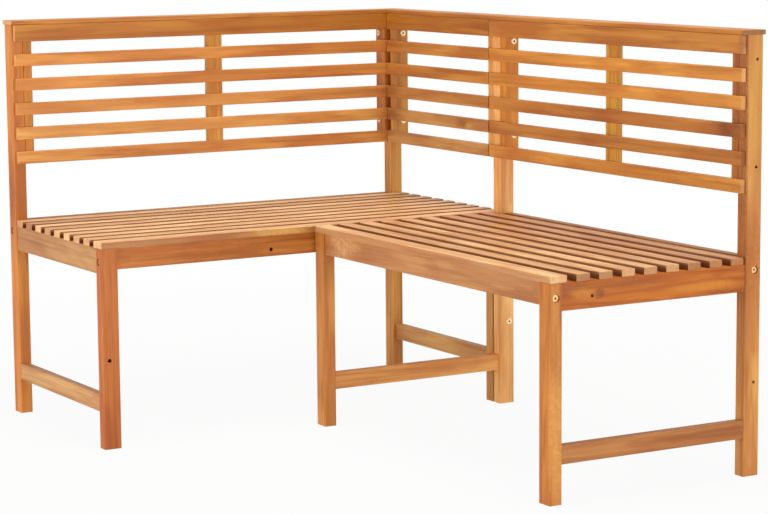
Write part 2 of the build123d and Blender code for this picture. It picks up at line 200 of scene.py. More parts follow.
def paintedShadeLayers(tree, spot, paintedShadeSides, colours):
    # painted shade on the seat slats' sides and front edge, deepest low in the gaps
    sides = facingAlong(tree, spot["Normal"], paintedShadeSides["axis"])
    xyz = addNode(tree, "ShaderNodeSeparateXYZ", {}, {0: spot["Object"]}).outputs
    frontShare, gapShare, lowShare = paintedShadeSides["shadeShares"]
    starts, full = [paintedShadeSides["top"] - depth * mm for depth in acacia["deepFrom"]]
    low = addNode(
        tree,
        "ShaderNodeMapRange",
        {},
        {"Value": xyz["Z"], "From Min": starts, "From Max": full, "To Max": lowShare},
    ).outputs[0]
    layers = []
    # the painted shade over the sides, then the deeper painted shade low in the gaps
    for colour, atFront, inGap in ((colours["paintedSideShade"], frontShare, gapShare), (colours["deep"], 0.0, low)):
        behind = addNode(
            tree,
            "ShaderNodeMapRange",
            {},
            {
                "Value": xyz[paintedShadeSides["axis"]],
                "From Min": paintedShadeSides["front"],
                "From Max": paintedShadeSides["front"] + acacia["frontShadeRamp"] * mm,
                "To Min": atFront,
                "To Max": inGap,
            },
        ).outputs[0]
        layers.append((sides, *acacia["sideFacing"], behind, colour))
    return layers


def markAndShadeLayers(tree, spot, moved, patches, marksAndShade):
    # each mark, whether wood figure or painted shade, is frayed at its rim and broken up by a swirl
    swirl = addNode(
        tree,
        "ShaderNodeTexNoise",
        {},
        {
            "Vector": moved,
            "Scale": perMetre(acacia["markSwirl"]),
            "Detail": acacia["markCurl"][0],
            "Distortion": acacia["markCurl"][1],
        },
    ).outputs[0]
    layers = []
    for centre, reach, strength, broken, tone in marksAndShade:
        off = addNode(
            tree, "ShaderNodeVectorMath", {"operation": "SUBTRACT"}, {0: spot["Object"], 1: centre}
        ).outputs[0]
        off = addNode(
            tree, "ShaderNodeVectorMath", {"operation": "DIVIDE"}, {0: off, 1: [r * mm for r in reach]}
        ).outputs[0]
        off = addNode(tree, "ShaderNodeVectorMath", {"operation": "LENGTH"}, {0: off}).outputs["Value"]
        frayed = addNode(
            tree,
            "ShaderNodeMath",
            {"operation": "MULTIPLY_ADD"},
            {0: patches, 1: acacia["markFray"], 2: off},
        ).outputs[0]
        mottle = addNode(
            tree,
            "ShaderNodeMapRange",
            {"interpolation_type": "SMOOTHSTEP"},
            {
                "Value": swirl,
                "From Min": acacia["markMottle"][0],
                "From Max": acacia["markMottle"][1],
                "To Min": strength * (1 - broken),
                "To Max": strength,
            },
        ).outputs[0]
        layers.append((frayed, *acacia["markRim"], mottle, linear(tone)))
    return layers


def oiledAcacia(
    name, tones, grain, seed, shift=None, figure="plain", paintedShadeSides=None, marksAndShade=(), endDark=acacia["endDark"]
):
    # one board in one tone, or a set whose boards carry a shift and a tone between two
    draw = random.Random(seed)
    material = bpy.data.materials.new(name)
    material.use_nodes = True
    tree = material.node_tree
    shader = tree.nodes["Principled BSDF"]
    colours = acaciaColours(tree, tones)

    # the board's place in the log, and what varies over it
    if shift is None:
        shift = addNode(tree, "ShaderNodeAttribute", {"attribute_name": "boardShift"}).outputs["Vector"]
    spot = addNode(tree, "ShaderNodeTexCoord").outputs
    moved = addNode(
        tree, "ShaderNodeVectorMath", {"operation": "ADD"}, {0: spot["Object"], 1: shift}
    ).outputs[0]
    turn = [math.radians(a + draw.uniform(-1, 1) * acacia["tilt"]) for a in grainTurns[grain]]
    found = acaciaPatterns(tree, moved, turn, grain, figures[figure])
    ends = facingAlong(tree, spot["Normal"], grain)
    endDarkness = addNode(
        tree,
        "ShaderNodeMapRange",
        {},
        {
            "Value": found["thirst"],
            "From Min": acacia["endThirst"][0],
            "From Max": acacia["endThirst"][1],
            "To Max": endDark,
        },
    ).outputs[0]

    # colour layers: what drives it, where it starts and where it is full, how much, and the colour
    layers = [
        (found["clouds"], 0.42, 0.63, 0.95, colours["pale"]),
        (found["patches"], 0.46, 0.66, 0.85, colours["ruddy"]),
        (found["streaks"], 0.47, 0.72, 0.55, colours["dark"]),
        (found["rings"], 0.30, 1.00, figures[figure]["share"], colours["dark"]),
        (found["fibres"], 0.40, 0.75, 0.16, colours["dark"]),
        (ends, *acacia["endFacing"], acacia["endShare"], colours["end"]),
        (ends, *acacia["endFacing"], endDarkness, colours["dark"]),
    ]
    # painted shade on a seat's slat sides
    if paintedShadeSides:
        layers += paintedShadeLayers(tree, spot, paintedShadeSides, colours)
    if marksAndShade:
        layers += markAndShadeLayers(tree, spot, moved, found["patches"], marksAndShade)
    colour = colours["main"]
    for source, start, full, most, over in layers:
        amount = addNode(
            tree,
            "ShaderNodeMapRange",
            {"interpolation_type": "SMOOTHSTEP"},
            {"Value": source, "From Min": start, "From Max": full, "To Max": most},
        ).outputs[0]
        colour = addNode(
            tree, "ShaderNodeMix", {"data_type": "RGBA"}, {0: amount, 6: colour, 7: over}
        ).outputs[2]
    dull = addNode(
        tree,
        "ShaderNodeMapRange",
        {},
        {
            "Value": found["fibres"],
            "From Min": noiseSpan[0],
            "From Max": noiseSpan[1],
            "To Min": acacia["roughness"][0],
            "To Max": acacia["roughness"][1],
        },
    ).outputs[0]
    bump = addNode(
        tree,
        "ShaderNodeBump",
        {},
        {
            "Strength": acacia["fibreBump"],
            "Distance": acacia["fibreDepth"] * mm,
            "Height": found["fibres"],
        },
    ).outputs[0]
    tree.links.new(colour, shader.inputs["Base Color"])
    tree.links.new(dull, shader.inputs["Roughness"])
    tree.links.new(bump, shader.inputs["Normal"])
    shader.inputs["IOR"].default_value = acacia["oilIor"]
    return material


def boardShift(node, grain, seed):
    # moves a board's pattern to a place of its own in the log, off the pith
    low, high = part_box(node)
    draw = random.Random(seed)
    near, far = acacia["pith"]
    offset = [draw.choice((-1, 1)) * draw.uniform(near, far) * mm for i in range(3)]
    offset[axisNames.index(grain)] = draw.uniform(-acacia["logReach"], acacia["logReach"])
    return Vector(offset) - (low + high) / 2


# boards kept from the CAD: each one's colour and figure
boardLooks = {
    "long_outer_back_post": ("#CE7E32", "plain"),
    "long_corner_back_post": ("#CE8A3E", "plain"),
    # painted light: paler than its wood to make up for the shade under the seat
    "short_inner_back_post": ("#F8B86E", "plain"),
    "short_outer_back_post": ("#D38F48", "plain"),
    "long_outer_front_leg": ("#B86428", "plain"),
    "long_corner_front_leg": ("#D0934C", "plain"),
    "short_inner_front_leg": ("#CA803A", "plain"),
    "short_outer_front_leg": ("#C6772C", "plain"),
    "long_outer_side_apron": ("#B37C48", "plain"),
    "long_corner_side_apron": ("#B9803F", "wavy"),
    "short_inner_side_apron": ("#B9803F", "wavy"),
    "short_outer_side_apron": ("#BC6414", "flame"),
    "long_outer_stretcher": ("#C08851", "wavy"),
    "long_corner_stretcher": ("#C58A4A", "plain"),
    "short_inner_stretcher": ("#E39B53", "plain"),
    "short_outer_stretcher": ("#B4713A", "plain"),
    "long_front_apron": ("#CD7B35", "wavy"),
    "long_back_apron": ("#BC7631", "wavy"),
    "short_front_apron": ("#BD7E4A", "wavy"),
    "short_back_apron": ("#BC7631", "wavy"),
    "long_seat_battens": ("#A9713F", "plain"),
    "short_seat_battens": ("#A9713F", "plain"),
    "long_top_rail": ("#B67024", "plain"),
    "return_top_rail": ("#AF6921", "wavy"),
    "short_top_rail": ("#BC752E", "plain"),
    "long_cap_rail": ("#B9732C", "plain"),
    "return_cap_rail": ("#B36E27", "plain"),
    "short_cap_rail": ("#BC762F", "plain"),
    "long_outer_stile": ("#CA7E26", "plain"),
    "long_centre_stile": ("#DB9942", "plain"),
    "long_corner_stile": ("#C37228", "plain"),
    "return_corner_stile": ("#CF8C3E", "plain"),
    # painted light: paler than its wood to make up for the shade behind the slats
    "return_end_stile": ("#EAAD60", "plain"),
    # painted light: paler than its wood to make up for the shade on its front face between the slats
    "short_inner_stile": ("#DC8A32", "plain"),
    "short_centre_stile": ("#D79534", "plain"),
    "short_outer_stile": ("#B9702D", "plain"),
}
# knots, burr, flame, clouds and painted shade: where in the board's box, reach in mm, how strong, how broken
# up, tone
boardMarksAndShade = {
    "short_front_apron": [
        ((0.0, 0.91, 0.45), (30, 105, 40), 0.9, 0.5, "#E6B078"),
        ((0.0, 0.985, 0.6), (30, 24, 22), 0.8, 0.7, "#BE6C3A"),
    ],
    "long_seat_slats": [((0.42, 0.0, 0.4), (150, 6, 16), 0.85, 0.2, "#F2BC66")],
    "short_outer_side_apron": [
        ((0.05, 0.0, 0.75), (60, 30, 22), 0.75, 0.3, "#A05018"),
        ((0.21, 0.0, 0.52), (16, 30, 13), 0.85, 0.3, "#8A4418"),
        ((0.12, 0.0, 0.55), (40, 30, 14), 0.7, 0.3, "#D88C30"),
        ((0.40, 0.0, 0.80), (130, 30, 14), 0.7, 0.2, "#9A5012"),
        ((0.78, 0.0, 0.40), (130, 30, 16), 0.75, 0.2, "#DC8A2A"),
    ],
    "short_outer_back_post": [
        ((0.5, 0.0, 0.47), (60, 9, 170), 0.8, 0.2, "#B06026"),
        ((0.5, 0.0, 0.86), (60, 9, 220), 0.6, 0.3, "#D69C46"),
        # painted shade: the post's -X face darkened where the seat and panel shade it
        ((0.0, 0.5, 0.78), (5, 200, 600), 0.8, 0.2, "#9A5222"),
    ],
    "short_outer_front_leg": [((0.5, 0.0, 0.40), (30, 9, 260), 0.75, 0.3, "#E6A354")],
    "short_top_rail": [((0.0, 0.0, 0.5), (30, 14, 40), 0.9, 0.2, "#A5652D")],
    "short_cap_rail": [((0.4, 0.0, 0.5), (60, 14, 30), 0.9, 0.2, "#8E5F35")],
    "return_back_slat_4": [
        ((0.0, 0.24, 0.5), (30, 40, 18), 0.8, 0.7, "#6E4216"),
        ((0.0, 0.18, 0.4), (30, 26, 12), 0.7, 0.6, "#D8A04C"),
        # painted shade towards the inner corner
        ((0.0, 1.0, 0.5), (30, 100, 30), 0.8, 0.2, "#804A1C"),
    ],
    "short_back_slat_3": [((0.0, 0.05, 0.5), (40, 70, 52), 0.95, 0.15, "#7E3E14")],
    "long_outer_back_post": [((0.5, 0.5, 0.56), (60, 60, 150), 0.95, 0.15, "#9A4E14")],
    # painted shade towards the inner corner
    "return_back_slat_3": [((0.0, 1.0, 0.5), (30, 80, 30), 0.7, 0.2, "#8E5220")],
}
for number in (3, 4, 5):  # painted shade: the long panel's lower slats darken towards the inner corner
    boardMarksAndShade["long_back_slat_" + str(number)] = [((1.0, 0.0, 0.5), (90, 30, 30), 0.6, 0.2, "#9C5418")]


def marksAndShadeOf(node):
    # each mark's middle in the scene, with the rest of what it says
    low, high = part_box(node)
    marks = boardMarksAndShade.get(node, [])
    return [(Vector([a + (b - a) * f for a, b, f in zip(low, high, part)]), *rest) for part, *rest in marks]


def dress(node, material):
    # a CAD node keeps its shape and takes a finish
    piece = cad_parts[node]
    if piece.material_slots:
        for held in piece.material_slots:
            held.material = material
    else:
        piece.data.materials.append(material)


firstSeed = 100
for number, (node, (tone, figure)) in enumerate(boardLooks.items()):
    low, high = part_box(node)
    size = high - low
    grain = axisNames[max(range(3), key=lambda i: size[i])]
    if node.endswith("battens"):  # three battens side by side: the grain runs across the set
        grain = "Y" if node.startswith("long") else "X"
    seed = firstSeed + number
    finish = oiledAcacia(
        "oiled acacia " + node,
        [tone],
        grain,
        seed,
        boardShift(node, grain, seed),
        figure,
        marksAndShade=marksAndShadeOf(node),
    )
    dress(node, finish)
print("boards dressed:", len(boardLooks))


def startTree(name, inputs):
    # an empty geometry tree with named inputs
    tree = bpy.data.node_groups.new(name, "GeometryNodeTree")
    for label, kind in inputs.items():
        tree.interface.new_socket(name=label, in_out="INPUT", socket_type="NodeSocket" + kind)
    tree.interface.new_socket(name="Geometry", in_out="OUTPUT", socket_type="NodeSocketGeometry")
    return tree, addNode(tree, "NodeGroupInput").outputs


def runTree(name, tree, values, base=None):
    # puts a tree on a new object, and keeps what it makes as a plain mesh
    piece = bpy.data.objects.new(name, base or bpy.data.meshes.new(name))
    bpy.context.scene.collection.objects.link(piece)
    modifier = piece.modifiers.new(tree.name, "NODES")
    modifier.node_group = tree
    for item in tree.interface.items_tree:
        if item.in_out == "INPUT" and item.name in values:
            modifier[item.identifier] = values[item.name]
    graph = bpy.context.evaluated_depsgraph_get()
    made = bpy.data.meshes.new_from_object(
        piece.evaluated_get(graph), preserve_all_data_layers=True, depsgraph=graph
    )
    piece.modifiers.clear()
    piece.data = made
    made.name = name
    return piece


def place(piece, slot, *nodes):
    # the piece stands for its CAD nodes on the bench
    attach(piece, "root")
    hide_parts(*nodes)
    print("made", piece.name, "with", len(piece.data.polygons), "faces")


# a board with every edge eased: a cube of 5 cells each way, whose outer cells become the rounding
easedBoard, given = startTree("easedBoard", {"Size": "Vector", "Ease": "Float"})
cells = 5
flatEdge = 1 / cells
squareOn = 0.999  # a face this square to an axis is flat, the rest is rounding
cube = addNode(
    easedBoard,
    "GeometryNodeMeshCube",
    {},
    {"Size": (2, 2, 2), "Vertices X": cells + 1, "Vertices Y": cells + 1, "Vertices Z": cells + 1},
)
ease = addNode(easedBoard, "ShaderNodeCombineXYZ", {}, {n: given["Ease"] for n in range(3)})
ready = {
    "spot": addNode(easedBoard, "GeometryNodeInputPosition").outputs[0],
    "normal": addNode(easedBoard, "GeometryNodeInputNormal").outputs[0],
    "size": given["Size"],
    "ease": ease.outputs[0],
    "flatHigh": [flatEdge] * 3,
    "flatLow": [-flatEdge] * 3,
    "half": [0.5] * 3,
    "cells": [cells] * 3,
}
for made, operation, *terms in (
    ("notAbove", "MINIMUM", "spot", "flatHigh"),
    ("flat", "MAXIMUM", "notAbove", "flatLow"),
    ("past", "SUBTRACT", "spot", "flat"),
    ("outward", "NORMALIZE", "past"),
    ("rounding", "MULTIPLY", "outward", "ease"),
    ("halfSize", "MULTIPLY", "size", "half"),
    ("coreSize", "SUBTRACT", "halfSize", "ease"),
    ("corner", "MULTIPLY", "flat", "cells"),
    ("core", "MULTIPLY", "corner", "coreSize"),
    ("rounded", "ADD", "core", "rounding"),
    ("steep", "ABSOLUTE", "normal"),
):
    ready[made] = addNode(
        easedBoard,
        "ShaderNodeVectorMath",
        {"operation": operation},
        {n: ready[term] for n, term in enumerate(terms)},
    ).outputs[0]
shaped = addNode(
    easedBoard,
    "GeometryNodeSetPosition",
    {},
    {"Geometry": cube.outputs["Mesh"], "Position": ready["rounded"]},
)
sides = addNode(easedBoard, "ShaderNodeSeparateXYZ", {}, {0: ready["steep"]}).outputs
steepest = sides[0]
for side in (sides[1], sides[2]):
    steepest = addNode(
        easedBoard, "ShaderNodeMath", {"operation": "MAXIMUM"}, {0: steepest, 1: side}
    ).outputs[0]
onEdge = addNode(easedBoard, "ShaderNodeMath", {"operation": "LESS_THAN"}, {0: steepest, 1: squareOn})
smoothed = addNode(
    easedBoard,
    "GeometryNodeSetShadeSmooth",
    {},
    {"Geometry": shaped.outputs[0], "Shade Smooth": onEdge.outputs[0]},
)
addNode(easedBoard, "NodeGroupOutput", {}, {"Geometry": smoothed.outputs[0]})

# a row of boards, the first of its own size, each with its own place in the log and its own tone
boardRow, given = startTree(
    "boardRow",
    {
        "Lead Size": "Vector",
        "Lead Centre": "Vector",
        "Board Size": "Vector",
        "First Centre": "Vector",
        "Step": "Vector",
        "Count": "Int",
        "Ease": "Float",
        "Shift Low": "Vector",
        "Shift High": "Vector",
        "Seed": "Int",
        "Finish": "Material",
    },
)
rows = []
for sizeName, centreName, count, step in (
    ("Lead Size", "Lead Centre", 1, (0, 0, 0)),
    ("Board Size", "First Centre", given["Count"], given["Step"]),
):
    made = addNode(
        boardRow,
        "GeometryNodeGroup",
        {"node_tree": easedBoard},
        {"Size": given[sizeName], "Ease": given["Ease"]},
    )
    points = addNode(
        boardRow,
        "GeometryNodeMeshLine",
        {},
        {"Count": count, "Start Location": given[centreName], "Offset": step},
    )
    rows.append(
        addNode(
            boardRow,
            "GeometryNodeInstanceOnPoints",
            {},
            {"Points": points.outputs[0], "Instance": made.outputs[0]},
        ).outputs[0]
    )
joined = addNode(boardRow, "GeometryNodeJoinGeometry", {}, {0: rows})
logPlace = addNode(
    boardRow,
    "FunctionNodeRandomValue",
    {"data_type": "FLOAT_VECTOR"},
    {0: given["Shift Low"], 1: given["Shift High"], "Seed": given["Seed"]},
)
shift = addNode(
    boardRow,
    "ShaderNodeVectorMath",
    {"operation": "SUBTRACT"},
    {0: logPlace.outputs[0], 1: addNode(boardRow, "GeometryNodeInputPosition").outputs[0]},
)
kept = addNode(
    boardRow,
    "GeometryNodeStoreNamedAttribute",
    {"data_type": "FLOAT_VECTOR", "domain": "INSTANCE"},
    {"Geometry": joined.outputs[0], "Name": "boardShift", "Value": shift.outputs[0]},
)
toneSeed = addNode(boardRow, "ShaderNodeMath", {"operation": "ADD"}, {0: given["Seed"], 1: 1})
tone = addNode(boardRow, "FunctionNodeRandomValue", {"data_type": "FLOAT"}, {"Seed": toneSeed.outputs[0]})
kept = addNode(
    boardRow,
    "GeometryNodeStoreNamedAttribute",
    {"data_type": "FLOAT", "domain": "INSTANCE"},
    {"Geometry": kept.outputs[0], "Name": "boardTone", "Value": tone.outputs[1]},
)
real = addNode(boardRow, "GeometryNodeRealizeInstances", {}, {"Geometry": kept.outputs[0]})
finished = addNode(
    boardRow, "GeometryNodeSetMaterial", {}, {"Geometry": real.outputs[0], "Material": given["Finish"]}
)
addNode(boardRow, "NodeGroupOutput", {}, {"Geometry": finished.outputs[0]})
print("board trees built")


def logRange(grain):
    # the space in the log that a set's boards are cut from
    near, far = [distance * mm for distance in acacia["pith"]]
    low = [near] * 3
    high = [far] * 3
    low[axisNames.index(grain)] = -acacia["logReach"]
    high[axisNames.index(grain)] = acacia["logReach"]
    return low, high


# seat slats: nine to a unit, the front one wider; x or y runs along them
seatSlats = {
    "long": {
        "grain": "X",
        "across": 1,
        "tones": ("#EDBA82", "#A86E34"),
        # this seed gives random tones that also darken the rear slats: partly their own tones, partly
        # painted shade
        "seed": 505,
        "shadeShares": (0.78, 0.72, 0.9),  # how much painted shade: the front edge, the sides in the gaps, their low part
        "endDark": 0.4,
    },
    "short": {
        "grain": "Y",
        "across": 0,
        "tones": ("#E6B078", "#B3713A"),
        # this seed gives random tones that also darken the rear slats: partly their own tones, partly
        # painted shade
        "seed": 2466,
        "shadeShares": (0.52, 0.55, 0.65),
        "endDark": 0.75,
    },
    "count": 9,
    "frontWidth": 40.0,
    "width": 32.0,
    "ease": 2.0,
}
for unit in ("long", "short"):
    look = seatSlats[unit]
    across = look["across"]
    low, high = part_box(unit + "_seat_slats")
    size = high - low
    leadSize, boardSize = size.copy(), size.copy()
    leadSize[across] = seatSlats["frontWidth"] * mm
    boardSize[across] = seatSlats["width"] * mm
    pitch = (size[across] - leadSize[across]) / (seatSlats["count"] - 1)
    leadCentre, firstCentre, step = (low + high) / 2, (low + high) / 2, Vector((0, 0, 0))
    leadCentre[across] = low[across] + leadSize[across] / 2
    firstCentre[across] = low[across] + leadSize[across] + pitch - boardSize[across] / 2
    step[across] = pitch
    shiftLow, shiftHigh = logRange(look["grain"])
    finish = oiledAcacia(
        "oiled acacia " + unit + " seat",
        look["tones"],
        look["grain"],
        look["seed"],
        paintedShadeSides={"axis": axisNames[across], "front": low[across], "top": high.z, "shadeShares": look["shadeShares"]},
        marksAndShade=marksAndShadeOf(unit + "_seat_slats"),
        endDark=look["endDark"],
    )
    piece = runTree(
        unit + "_seat_slats_eased",
        boardRow,
        {
            "Lead Size": leadSize,
            "Lead Centre": leadCentre,
            "Board Size": boardSize,
            "First Centre": firstCentre,
            "Step": step,
            "Count": seatSlats["count"] - 1,
            "Ease": seatSlats["ease"] * mm,
            "Shift Low": shiftLow,
            "Shift High": shiftHigh,
            "Seed": look["seed"],
            "Finish": finish,
        },
    )
    place(piece, "acacia_seat", unit + "_seat_slats")

# back slats: five to a panel, one above the other
backSlats = {
    "long": {"grain": "X", "tones": ("#C87A34", "#D5934B"), "seed": 88},
    "return": {"grain": "Y", "tones": ("#BF7930", "#B68149"), "seed": 573},
    "short": {"grain": "Y", "tones": ("#D88F3B", "#B6712F"), "seed": 525},
    "count": 5,
    "ease": 1.5,
}
for panel in ("long", "return", "short"):
    look = backSlats[panel]
    nodes = [panel + "_back_slat_" + str(n + 1) for n in range(backSlats["count"])]
    boxes = [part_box(node) for node in nodes]
    size = boxes[0][1] - boxes[0][0]
    centres = [(low + high) / 2 for low, high in boxes]
    shiftLow, shiftHigh = logRange(look["grain"])
    marksAndShade = [mark for node in nodes for mark in marksAndShadeOf(node)]
    finish = oiledAcacia(
        "oiled acacia " + panel + " back", look["tones"], look["grain"], look["seed"], marksAndShade=marksAndShade
    )
    piece = runTree(
        panel + "_back_slats_eased",
        boardRow,
        {
            "Lead Size": size,
            "Lead Centre": centres[0],
            "Board Size": size,
            "First Centre": centres[1],
            "Step": centres[1] - centres[0],
            "Count": backSlats["count"] - 1,
            "Ease": backSlats["ease"] * mm,
            "Shift Low": shiftLow,
            "Shift High": shiftHigh,
            "Seed": look["seed"],
            "Finish": finish,
        },
    )
    place(piece, "acacia_back", *nodes)


# zinc plated steel, yellow passivated: a pale gold metal with a cloudy satin plate, and painted shade in its
# sockets
zinc = {
    "bright": ("#F0D8B2", "#D2B084"),  # painted light: plate and cloud of heads that stand proud, paler to make up for the slats' shade
    "gold": ("#E2BE88", "#C49A62"),  # painted light: of heads sunk in a counterbore, paler to make up for its shade
    # painted shade: the threaded inserts' plate, darkened as the shade in their bores
    "bore": ("#6E5438", "#46321E"),
    # painted shade in the sockets of heads
    "socket": "#7C5228",
    "cloudSize": 3.0,  # mm
    "cloudDetail": 4.0,
    "roughness": (0.48, 0.68),
    "pitDepth": 0.02,
    "pitBump": 0.3,
}


def zincPlate(name, plate, cloud):
    # the recess attribute of a head paints shade into its socket
    material = bpy.data.materials.new(name)
    material.use_nodes = True
    tree = material.node_tree
    shader = tree.nodes["Principled BSDF"]
    spot = addNode(tree, "ShaderNodeTexCoord").outputs["Object"]
    clouds = addNode(
        tree,
        "ShaderNodeTexNoise",
        {},
        {"Vector": spot, "Scale": perMetre(zinc["cloudSize"]), "Detail": zinc["cloudDetail"]},
    ).outputs[0]
    recess = addNode(tree, "ShaderNodeAttribute", {"attribute_name": "recess"}).outputs["Fac"]
    colour = addNode(
        tree, "ShaderNodeMix", {"data_type": "RGBA"}, {0: clouds, 6: linear(plate), 7: linear(cloud)}
    ).outputs[2]
    colour = addNode(
        tree, "ShaderNodeMix", {"data_type": "RGBA"}, {0: recess, 6: colour, 7: linear(zinc["socket"])}
    ).outputs[2]
    dull = addNode(
        tree,
        "ShaderNodeMapRange",
        {},
        {
            "Value": clouds,
            "From Min": noiseSpan[0],
            "From Max": noiseSpan[1],
            "To Min": zinc["roughness"][0],
            "To Max": zinc["roughness"][1],
        },
    ).outputs[0]
    bump = addNode(
        tree,
        "ShaderNodeBump",
        {},
        {"Strength": zinc["pitBump"], "Distance": zinc["pitDepth"] * mm, "Height": clouds},
    ).outputs[0]
    tree.links.new(colour, shader.inputs["Base Color"])
    tree.links.new(dull, shader.inputs["Roughness"])
    tree.links.new(bump, shader.inputs["Normal"])
    shader.inputs["Metallic"].default_value = 1.0
    return material


brightZinc = zincPlate("zinc plated steel bright", *zinc["bright"])
goldZinc = zincPlate("zinc plated steel gold", *zinc["gold"])
boreShadeZinc = zincPlate("zinc plated steel painted with bore shade", *zinc["bore"])


mergeWithin = 0.001  # mm between points that are one
headShare = 0.95  # points this far out are on the head
evenWithin = 0.1  # mm off the middle at which a fastener counts as alike at both ends


def looseSolids(node):
    # the separate solids of a node, each as a list of points
    work = bmesh.new()
    work.from_mesh(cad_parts[node].data)
    bmesh.ops.remove_doubles(work, verts=work.verts, dist=mergeWithin * mm)
    solids, seen = [], set()
    for start in work.verts:
        if start in seen:
            continue
        seen.add(start)
        found, waiting = [], [start]
        while waiting:
            vert = waiting.pop()
            found.append(vert.co.copy())
            for edge in vert.link_edges:
                other = edge.other_vert(vert)
                if other not in seen:
                    seen.add(other)
                    waiting.append(other)
        solids.append(found)
    work.free()
    return solids


def fastenerSpots(node):
    # for each fastener: the end of its head, the way the head faces, and its length
    spots = []
    for points in looseSolids(node):
        low = Vector([min(p[i] for p in points) for i in range(3)])
        high = Vector([max(p[i] for p in points) for i in range(3)])
        size = high - low
        axis = max(range(3), key=lambda i: size[i])
        mid = (low + high) / 2
        across = Vector([0 if i == axis else 1 for i in range(3)])
        girth = [((p - mid) * across).length for p in points]  # off the fastener's own line
        widest = [p[axis] for p, g in zip(points, girth) if g > headShare * max(girth)]
        way = 1 if sum(widest) / len(widest) >= mid[axis] - evenWithin * mm else -1
        outward = Vector([way if i == axis else 0 for i in range(3)])
        spots.append((mid + outward * size[axis] / 2, outward, size[axis]))
    return spots


crossWaist = 0.38  # how far out a cross recess is between its arms


def ring(radius, height, sides, shape="round"):
    # one closed ring of points; a hexagon is given by its apothem, a cross by its arm
    points = []
    for n in range(sides):
        angle = math.tau * n / sides
        reach = radius
        if shape == "hexagon":
            reach = radius / math.cos((angle + math.pi / 6) % (math.pi / 3) - math.pi / 6)
        if shape == "cross" and n % (sides // 4):
            reach = radius * crossWaist
        points.append((reach * math.cos(angle) * mm, reach * math.sin(angle) * mm, height * mm))
    return points


def loftRings(name, rings, hollow=False, recessed=0):
    # a skin over rings, closed at both ends, or back on itself as a sleeve; the first may be a recess
    work = bmesh.new()
    deep = work.verts.layers.float.new("recess")
    loops = []
    for number, points in enumerate(rings):
        loops.append([work.verts.new(point) for point in points])
        for vert in loops[-1]:
            vert[deep] = 1.0 if number < recessed else 0.0
    for near, far in zip(loops, loops[1:] + loops[:1] if hollow else loops[1:]):
        for n in range(len(near)):
            after = (n + 1) % len(near)
            work.faces.new((near[n], near[after], far[after], far[n]))
    if not hollow:
        work.faces.new(loops[0])
        work.faces.new(loops[-1])
    bmesh.ops.recalc_face_normals(work, faces=work.faces)
    mesh = bpy.data.meshes.new(name)
    work.to_mesh(mesh)
    work.free()
    made = bpy.data.objects.new(name, mesh)
    bpy.context.scene.collection.objects.link(made)
    return made


# fasteners on points: each turned to face outward, twisted by chance, its shank as long as it needs
fastenerSet, given = startTree(
    "fastenerSet",
    {"Geometry": "Geometry", "Head": "Object", "Shank": "Object", "Seed": "Int", "Finish": "Material"},
)
facing = addNode(
    fastenerSet, "GeometryNodeInputNamedAttribute", {"data_type": "FLOAT_VECTOR"}, {"Name": "outward"}
)
reach = addNode(fastenerSet, "GeometryNodeInputNamedAttribute", {"data_type": "FLOAT"}, {"Name": "reach"})
turned = addNode(
    fastenerSet, "FunctionNodeAlignRotationToVector", {"axis": "Z"}, {"Vector": facing.outputs[0]}
)
chance = addNode(
    fastenerSet, "FunctionNodeRandomValue", {"data_type": "FLOAT"}, {3: math.tau, "Seed": given["Seed"]}
)
twist = addNode(fastenerSet, "ShaderNodeCombineXYZ", {}, {2: chance.outputs[1]})
twist = addNode(fastenerSet, "FunctionNodeEulerToRotation", {}, {0: twist.outputs[0]})
twisted = addNode(
    fastenerSet,
    "FunctionNodeRotateRotation",
    {"rotation_space": "LOCAL"},
    {0: turned.outputs[0], 1: twist.outputs[0]},
)
stretch = addNode(fastenerSet, "ShaderNodeCombineXYZ", {}, {0: 1.0, 1: 1.0, 2: reach.outputs[0]})
copies = []
for part, scale in (("Head", (1, 1, 1)), ("Shank", stretch.outputs[0])):
    shape = addNode(fastenerSet, "GeometryNodeObjectInfo", {}, {"Object": given[part]})
    copies.append(
        addNode(
            fastenerSet,
            "GeometryNodeInstanceOnPoints",
            {},
            {
                "Points": given["Geometry"],
                "Instance": shape.outputs["Geometry"],
                "Rotation": twisted.outputs[0],
                "Scale": scale,
            },
        ).outputs[0]
    )
joined = addNode(fastenerSet, "GeometryNodeJoinGeometry", {}, {0: copies})
real = addNode(fastenerSet, "GeometryNodeRealizeInstances", {}, {"Geometry": joined.outputs[0]})
finished = addNode(
    fastenerSet, "GeometryNodeSetMaterial", {}, {"Geometry": real.outputs[0], "Material": given["Finish"]}
)
addNode(fastenerSet, "NodeGroupOutput", {}, {"Geometry": finished.outputs[0]})


def placeFasteners(name, node, head, shank, headHeight, seed, finish):
    # heads seat where the CAD's do, shanks run in from there
    spots = fastenerSpots(node)
    base = bpy.data.meshes.new(name + "_spots")
    base.from_pydata([end - outward * headHeight * mm for end, outward, length in spots], [], [])
    base.attributes.new("outward", "FLOAT_VECTOR", "POINT")
    base.attributes.new("reach", "FLOAT", "POINT")
    for n, (end, outward, length) in enumerate(spots):
        base.attributes["outward"].data[n].vector = outward
        base.attributes["reach"].data[n].value = length / mm - headHeight
    piece = runTree(
        name, fastenerSet, {"Head": head, "Shank": shank, "Seed": seed, "Finish": finish}, base
    )
    place(piece, "zinc_plated_steel", node)


